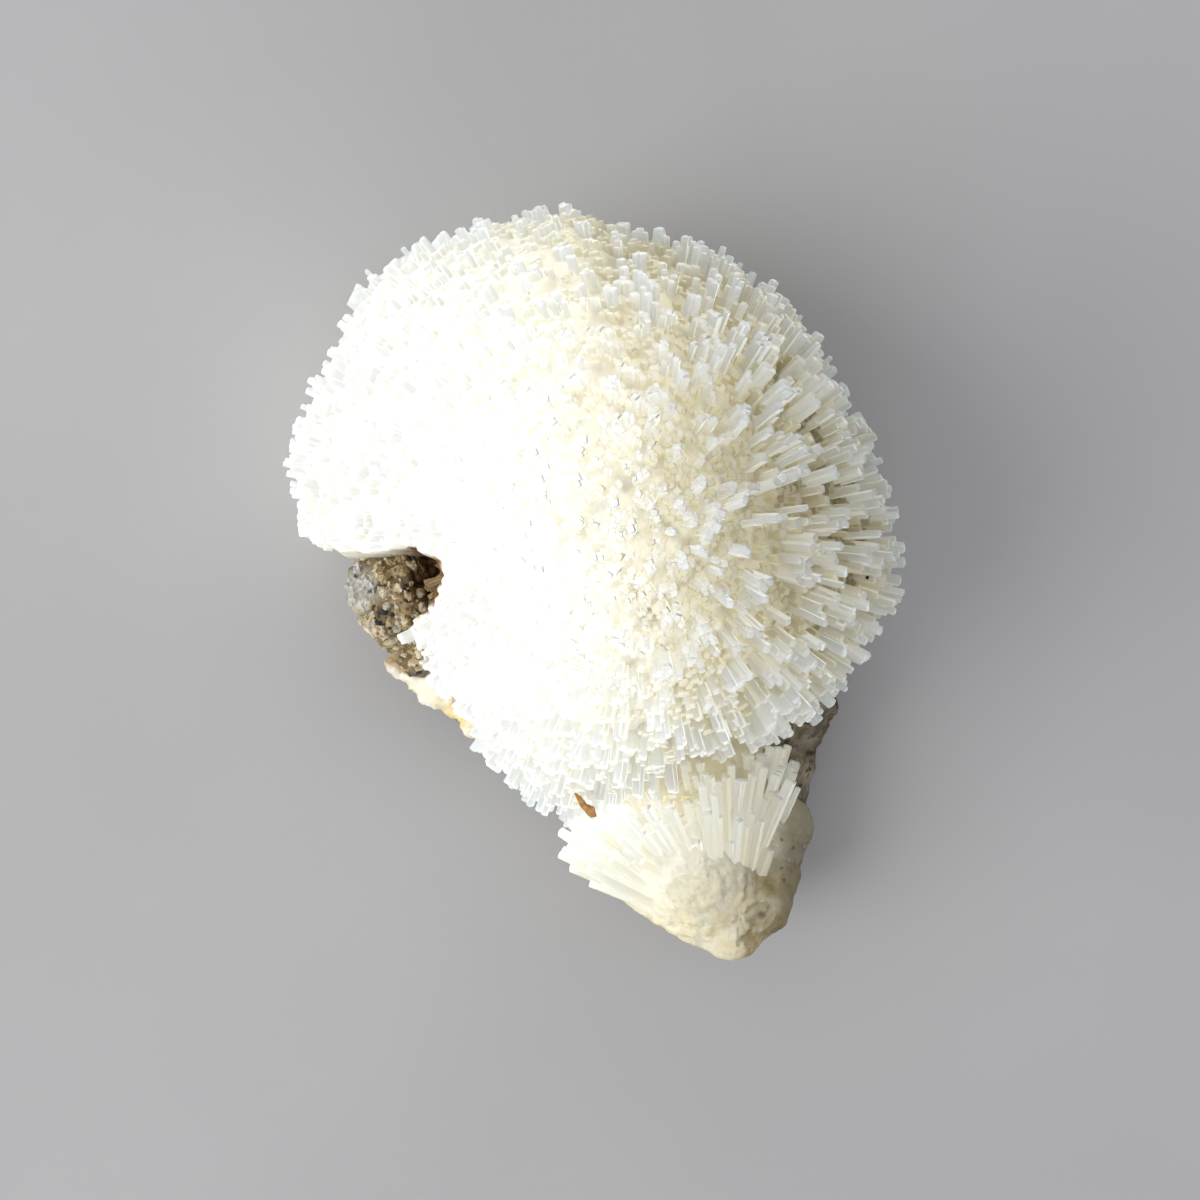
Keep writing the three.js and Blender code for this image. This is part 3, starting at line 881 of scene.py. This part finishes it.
laths.data.materials.append(tan_lath.material)
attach(laths, "root")


# The fan's root
# The compact milky foot of a second, smaller spray at the tip, broken off along one straight yellow edge, with
# a saddle of the same mass up to the dome. The crust beside it has grown into it, so a seam parts the two.
FAN_NUCLEUS = np.array([18.4, -52.5, 16.5]) * MM
FAN_REACH = 30 * MM
FAN_RISE = 20 * MM
FAN_LIFT = 0.6
ROOT_CENTRE = np.array([12.4, -42.6, 13.5]) * MM
ROOT_HALF = np.array([16.0, 10.2, 12.0]) * MM
ROOT_TURN = math.radians(147)
ROOT_VOXEL = 0.4 * MM
SADDLE_CENTRE = np.array([13.0, -31.0, 12.5]) * MM
SADDLE_HALF = np.array([14.0, 12.5, 12.8]) * MM
BREAK_POINT = np.array([5.1, -46.6, 12.0]) * MM
BREAK_AZIMUTH, BREAK_LEAN = math.radians(237.5), math.radians(12)
BREAK_NORMAL = np.array([
    math.cos(BREAK_AZIMUTH) * math.cos(BREAK_LEAN),
    math.sin(BREAK_AZIMUTH) * math.cos(BREAK_LEAN),
    -math.sin(BREAK_LEAN),
])
SEAM_POINT = np.array([20.5, -45.0, 12.0]) * MM
SEAM_NORMAL = np.array([0.989, -0.146, 0.0])


def past_break(points):
    return (points - BREAK_POINT) @ BREAK_NORMAL


def split_off(piece, name, point, normal):
    """Cuts a piece in two closed ones along a plane, and returns the one that the normal points to."""
    other = piece.copy()
    other.data = piece.data.copy()
    other.name = name
    bpy.context.collection.objects.link(other)
    for half, cleared in ((piece, "clear_outer"), (other, "clear_inner")):
        make_active(half)
        edit_whole(bpy.ops.mesh.bisect, plane_co=point, plane_no=normal, use_fill=True, **{cleared: True})
        bpy.ops.object.shade_smooth_by_angle(angle=math.radians(70))
    return other


def root_warmth(points):
    """Milky, with a yellow broken edge and a tan tip."""
    to_tip = away(points, FAN_NUCLEUS[:2])
    at_edge = ease(-3.0 * MM, 0.2 * MM, past_break(points))
    in_saddle = ease(-36 * MM, -31 * MM, points[:, 1])
    near_tip = 1 - ease(4 * MM, 16 * MM, to_tip)
    return 0.18 + np.maximum(0.46 * at_edge, np.maximum(0.46 * near_tip, 0.30 * in_saddle))


def root_veil(points):
    """How grey and clear the milk looks: most so towards the tip, in patches."""
    to_tip = away(points, FAN_NUCLEUS[:2])
    patches = 0.3 * wobble(points / (2.0 * MM), 1, 6)
    return np.clip(0.40 * (1 - ease(9 * MM, 18 * MM, to_tip)) + patches, 0, 0.9)


def root_light(points):
    out = points - FAN_NUCLEUS
    return lifted(out / np.maximum(np.linalg.norm(out, axis=1, keepdims=True), 14 * MM), FAN_LIFT)


def fan_reach(direction):
    up = np.clip(direction[:, 2], 0, None)
    return 1 / np.hypot(np.sqrt(1 - up**2) / FAN_REACH, up / FAN_RISE)


def rounded_mass(name, centre, half, turn):
    mass = ball(name, 5)
    mass.scale = half
    mass.rotation_euler = (0, 0, turn)
    mass.location = centre
    bpy.ops.object.transform_apply(location=True, rotation=True, scale=True)
    return mass


saddle = rounded_mass("fan_saddle", SADDLE_CENTRE, SADDLE_HALF, 0)
fan_root = rounded_mass("fan_root", ROOT_CENTRE, ROOT_HALF, ROOT_TURN)
edit_whole(bpy.ops.mesh.bisect, plane_co=BREAK_POINT, plane_no=BREAK_NORMAL, use_fill=True, clear_outer=True)
tip_crust = copy_of_solid("tip_crust", "tip_crust_skin")
make_active(fan_root)
tip_crust.select_set(True)
saddle.select_set(True)
bpy.ops.object.join()
apply_modifier(fan_root, "REMESH", mode="VOXEL", voxel_size=ROOT_VOXEL)
apply_modifier(fan_root, "SMOOTH", factor=0.5, iterations=24)
roughen(fan_root, (("CLOUDS", 4.5 * MM, 0.8 * MM), ("CLOUDS", 1.3 * MM, 0.55 * MM)))
root_places = places(fan_root)
root_places[:, 2] = np.maximum(root_places[:, 2], 0.2 * MM)
move_to(fan_root, root_places)
tip_crust = split_off(fan_root, "tip_crust_skin", SEAM_POINT, SEAM_NORMAL)
root_places = places(fan_root)
add_attribute(fan_root, "depth", root_warmth(root_places))
add_attribute(fan_root, "veil", root_veil(root_places))
add_attribute(fan_root, "ray", root_light(root_places))
fan_root.visible_shadow = False
fan_root.data.materials.append(milk.material)
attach(fan_root, "root")


# The fan's free crystals
# Slender bright prisms that rise out of the root, radiate from the tip and stop where they meet the crystals
# of the dome, or end ragged along the yellow edge.
FAN_FROM, FAN_TO = 68, 152
FAN_LOWEST = -14
FAN_DROP = 13 * MM
SHORTEST_BAR = 2 * MM


def fan_crystals(name, count, seed):
    rng = np.random.default_rng(seed)
    azimuth = np.radians(rng.uniform(FAN_FROM, FAN_TO, count))
    highest = 16 + 10 * ease(math.radians(66), math.radians(98), azimuth)
    up = np.sin(np.radians(FAN_LOWEST + (highest - FAN_LOWEST) * rng.uniform(0, 1, count) ** 0.7))
    level = np.sqrt(1 - up * up)
    ray = np.stack([level * np.cos(azimuth), level * np.sin(azimuth), up], axis=1)
    owner, offset, width, twist = sheaves(ray, rng, (1, 3), (0.95 * MM, 1.4 * MM))
    axis = ray[owner]
    sheaf_drop = FAN_DROP * rng.uniform(0, 1, count) ** 1.2
    tip = fan_reach(axis) - sheaf_drop[owner] - 1.2 * MM * np.abs(rng.normal(0, 1, len(axis)))
    root = rng.uniform(0.32, 0.5, len(axis)) * fan_reach(axis)
    lean = unit(axis + rng.normal(0, 0.05, axis.shape))
    foot = FAN_NUCLEUS + axis * root[:, None] + offset
    length = tip - root
    ragged = rng.uniform(-0.5, 0.6, len(axis)) * MM
    for share in np.linspace(0.1, 1.0, 46):
        spot = foot + lean * (length * share)[:, None]
        out = spot - NUCLEUS
        distance = np.linalg.norm(out, axis=1)
        met = distance < 0.90 * dome_reach(out / distance[:, None])
        met |= past_break(spot) > ragged
        met |= spot[:, 2] < FLOOR_CLEARANCE
        length = np.where(met, np.minimum(length, length * share), length)
    length = under_splinter(foot, lean, length)
    kept = length > SHORTEST_BAR
    form = rng.choice([BLUNT, PYRAMID, SLANTED], len(axis), p=(0.5, 0.28, 0.22))
    taper = rng.uniform(0.75, 1.0, len(axis))
    tan_and_shade = 0.02 + 0.26 * (rng.uniform(0, 1, count) ** 1.5)[owner]
    values = (foot, lean, length, width, twist, taper, form, tan_and_shade, np.full(len(axis), 0.22))
    return grow_crystals(name, *(value[kept] for value in values), FAN_LIFT, seed + 1)


fan = fan_crystals("fan_prisms", 420, 41)
fan.visible_shadow = False
fan.visible_diffuse = False
fan.data.materials.append(crystal.material)
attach(fan, "root")
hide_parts("tip_fan")


# Cream crust on the rim
# A botryoidal skin of cream lumps, waxy and slightly clear, grown on the rock below the notch. It is stained
# tan towards the notch and has one yellow patch.
CRUST_VOXEL = 0.45 * MM
YELLOW_PATCH = np.array([-21.6, -20.4]) * MM
RIM_SHIFT = np.array([1.0, 0.6, 0.0]) * MM
rim = copy_of_solid("rim_crust", "rim_crust_lumps")
apply_modifier(rim, "REMESH", mode="VOXEL", voxel_size=CRUST_VOXEL)
apply_modifier(rim, "SMOOTH", factor=0.5, iterations=14)
roughen(rim, (("CLOUDS", 4 * MM, 2.2 * MM), ("VORONOI", 1.8 * MM, 1.3 * MM), ("CLOUDS", 0.8 * MM, 0.5 * MM)))
rim.data.shade_smooth()
rim_places = places(rim)
rim_places += RIM_SHIFT
rim_places[:, 2] = np.maximum(rim_places[:, 2], 0.2 * MM)
move_to(rim, rim_places)
from_patch = away(rim_places, YELLOW_PATCH)
add_attribute(rim, "yellow", 1 - ease(1.0 * MM, 2.6 * MM, from_patch))
add_attribute(rim, "stain", ease(-14.5 * MM, -10.5 * MM, rim_places[:, 1]))

cream = Finish("cream crust")
cream_place = cream.place()
cream_cloud = cream.noise(cream_place, 330, 5, 0.6)
cream_stops = [(0.30, (0.640, 0.540, 0.330)), (0.48, (0.840, 0.790, 0.640)), (0.70, (0.920, 0.905, 0.820))]
cream_colour = cream.ramp(cream_cloud, cream_stops)
cream_colour = cream.blend(cream.value("stain"), cream_colour, (0.470, 0.340, 0.170))
cream_colour = cream.blend(cream.value("yellow"), cream_colour, (0.760, 0.620, 0.300))
cream.colour(dusted(cream, cream_colour))
cream.roughness(cream.band(cream_cloud, -0.1, 1.2))
cream.normal(cream.bump(cream.noise(cream_place, 1200, 4, 0.65), 0.3 * MM, 0.6))
cream.glow((1.0, 0.8, 0.5), 3 * MM)
rim.data.materials.append(cream.material)
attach(rim, "root")
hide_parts("rim_crust")


# Tan crust on the tip
# A waxy, half-clear tan skin over the rock beside the fan, with a ring-shaped blister round a brown spot, a
# brown hollow at the very tip, and dark specks along its outer side.
EYE_CENTRE, EYE_RADIUS, EYE_RIM = np.array([22.6, -48.4]) * MM, 2.2 * MM, 0.4 * MM
EYE_SPOT, EYE_SPOT_RADIUS = np.array([23.3, -48.5]) * MM, 1.0 * MM
HOLLOW_CENTRE, HOLLOW_RADIUS = np.array([21.2, -52.2]) * MM, 1.5 * MM
SPECKS = np.array([(26.1, -37.8), (27.5, -37.1), (27.8, -39.1), (26.5, -43.6), (26.0, -41.9)]) * MM
CRUST_TOP = 8 * MM
crust_places = places(tip_crust)
uneven = 1 + 0.35 * wobble(crust_places / (0.9 * MM), 1, 4)
from_eye = away(crust_places, EYE_CENTRE)
eye_ring = np.exp(-(((from_eye - EYE_RADIUS) / EYE_RIM) ** 2))
in_hollow = 1 - ease(0.6 * HOLLOW_RADIUS, HOLLOW_RADIUS, uneven * away(crust_places, HOLLOW_CENTRE))
on_top = crust_places[:, 2] > CRUST_TOP
crust_places[:, 2] += on_top * (0.35 * eye_ring - 0.3 * (from_eye < EYE_RADIUS) - 0.7 * in_hollow) * MM
move_to(tip_crust, crust_places)
from_spot = uneven * away(crust_places, EYE_SPOT)
in_spot = 1 - ease(0.3 * EYE_SPOT_RADIUS, EYE_SPOT_RADIUS, from_spot)
from_specks = uneven * np.linalg.norm(crust_places[:, None, :2] - SPECKS, axis=2).min(axis=1)
in_speck = 1 - ease(0.08 * MM, 0.32 * MM, from_specks)
add_attribute(tip_crust, "stain", on_top * np.clip(0.7 * in_spot + 0.45 * in_hollow + in_speck, 0, 1))
past_seam = (crust_places - SEAM_POINT) @ SEAM_NORMAL
tanned = ease(-0.8 * MM, 2.2 * MM, past_seam) * (1 - 0.6 * ease(-44 * MM, -40 * MM, crust_places[:, 1]))
add_attribute(tip_crust, "tanned", tanned * (1 - 0.6 * on_top * eye_ring))
at_side = 0.6 * ease(25.0 * MM, 27.5 * MM, crust_places[:, 0])
add_attribute(tip_crust, "rocky", np.maximum(ease(-32 * MM, -25 * MM, crust_places[:, 1]), at_side))
add_attribute(tip_crust, "veil", root_veil(crust_places))
add_attribute(tip_crust, "depth", root_warmth(crust_places))
add_attribute(tip_crust, "ray", root_light(crust_places))

tan = Finish("tan crust")
tan_place = tan.place()
tan_cloud = tan.noise(tan_place, 240, 5, 0.6)
tan_stops = [(0.28, (0.210, 0.150, 0.065)), (0.46, (0.410, 0.335, 0.175)), (0.66, (0.650, 0.595, 0.420))]
tan_ray = tan.vector("ray")
tanned_tone = tan.ramp(tan_cloud, tan_stops)
tan_colour = tan.blend(tan.value("tanned"), milky_colour(tan, tan_ray), tanned_tone)
tan_colour = tan.blend(tan.value("rocky"), tan_colour, (0.290, 0.240, 0.155))
tan_colour = tan.blend(tan.value("stain"), tan_colour, BROWN_STAIN_AND_SHADE)
tan_facing = tan.light_along(tan_ray, dusted(tan, tan_colour))
tan.roughness(tan.band(tan_cloud, -0.1, 1.2))
tan.normal(tan.bump(tan.noise(tan_place, 1100, 3, 0.6), 0.2 * MM, 0.4, tan_facing))
tip_crust.visible_shadow = False
tip_crust.data.materials.append(tan.material)
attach(tip_crust, "root")
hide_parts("tip_crust")


# Rusty splinter
# A thin orange-brown chip of iron-stained rock, torn at one side, that lies caught between the crystals where
# the dome meets the fan.
CHIP_VOXEL = 0.09 * MM
splinter = copy_of_solid("rusty_splinter", "rusty_chip")
apply_modifier(splinter, "REMESH", mode="VOXEL", voxel_size=CHIP_VOXEL)
apply_modifier(splinter, "SMOOTH", factor=0.5, iterations=3)
roughen(splinter, (("CLOUDS", 0.8 * MM, 0.25 * MM),))
splinter.data.shade_smooth()
rust = Finish("rust")
rust_place = rust.place()
flakes = rust.noise(rust_place, 1300, 5, 0.65)
rust_stops = [(0.30, (0.300, 0.130, 0.030)), (0.52, (0.580, 0.290, 0.080)), (0.75, (0.720, 0.440, 0.170))]
rust.colour(rust.ramp(flakes, rust_stops))
rust.roughness(rust.band(flakes, -0.8, 1.1))
rust.normal(rust.bump(flakes, 0.12 * MM, 0.8))
splinter.data.materials.append(rust.material)
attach(splinter, "root")
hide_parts("rusty_splinter")


# Floor, light and camera
# A pale matt table under the piece, one large soft light from the left, weak ones from behind and in front,
# and a camera that looks straight down.
FLOOR_SIDE, FLOOR_DROP = 3.0, 0.2 * MM
LIT_SPOT = np.array([0.0, 0.0, 0.03])
SKY_STRENGTH = 0.46
bpy.ops.object.select_all(action="DESELECT")
bpy.ops.mesh.primitive_plane_add(size=FLOOR_SIDE, location=(0, 0, -FLOOR_DROP))
floor = bpy.context.object
floor.name = "table"
bpy.ops.object.transform_apply(location=True)
table = Finish("pale table")
table.set(Roughness=0.9)
table_stops = [(0.3, (0.48, 0.48, 0.49)), (0.7, (0.52, 0.52, 0.53))]
table.colour(table.ramp(table.noise(table.place(), 9, 3), table_stops))
floor.data.materials.append(table.material)


def soft_light(name, place, size, power, colour):
    lamp = bpy.data.lights.new(name, "AREA")
    lamp.shape = "DISK"
    lamp.size = size
    lamp.energy = power
    lamp.color = colour
    light = bpy.data.objects.new(name, lamp)
    light.location = place
    towards = LIT_SPOT - np.array(place)
    tilt = math.acos(-towards[2] / np.linalg.norm(towards))
    light.rotation_euler = (tilt, 0, math.atan2(towards[1], towards[0]) - math.pi / 2)
    bpy.context.collection.objects.link(light)


soft_light("key", (-0.80, -0.095, 0.53), 0.8, 5.6, (1.0, 0.985, 0.96))
soft_light("back", (-0.15, 0.82, 0.28), 0.6, 1.6, (0.97, 0.985, 1.0))
soft_light("front", (-0.05, -0.80, 0.28), 0.6, 1.8, (0.97, 0.985, 1.0))
world = bpy.data.worlds.new("studio")
world.use_nodes = True
sky = world.node_tree.nodes["Background"].inputs
sky["Color"].default_value = (0.97, 0.98, 1.0, 1)
sky["Strength"].default_value = SKY_STRENGTH
scene = bpy.context.scene
scene.world = world
scene.view_settings.view_transform = "Standard"
scene.cycles.max_bounces = 5
scene.cycles.diffuse_bounces = 3
scene.cycles.glossy_bounces = 2

PIXEL = 0.145 * MM
IMAGE_SIDE = 1200
LENS, SENSOR = 70.0, 36.0
lens = bpy.data.cameras.new("camera")
lens.lens = LENS
lens.sensor_width = SENSOR
camera = bpy.data.objects.new("camera", lens)
camera.location = (-0.15 * MM, -3.2 * MM, NUCLEUS[2] + IMAGE_SIDE * PIXEL * LENS / SENSOR)
bpy.context.collection.objects.link(camera)
scene.camera = camera
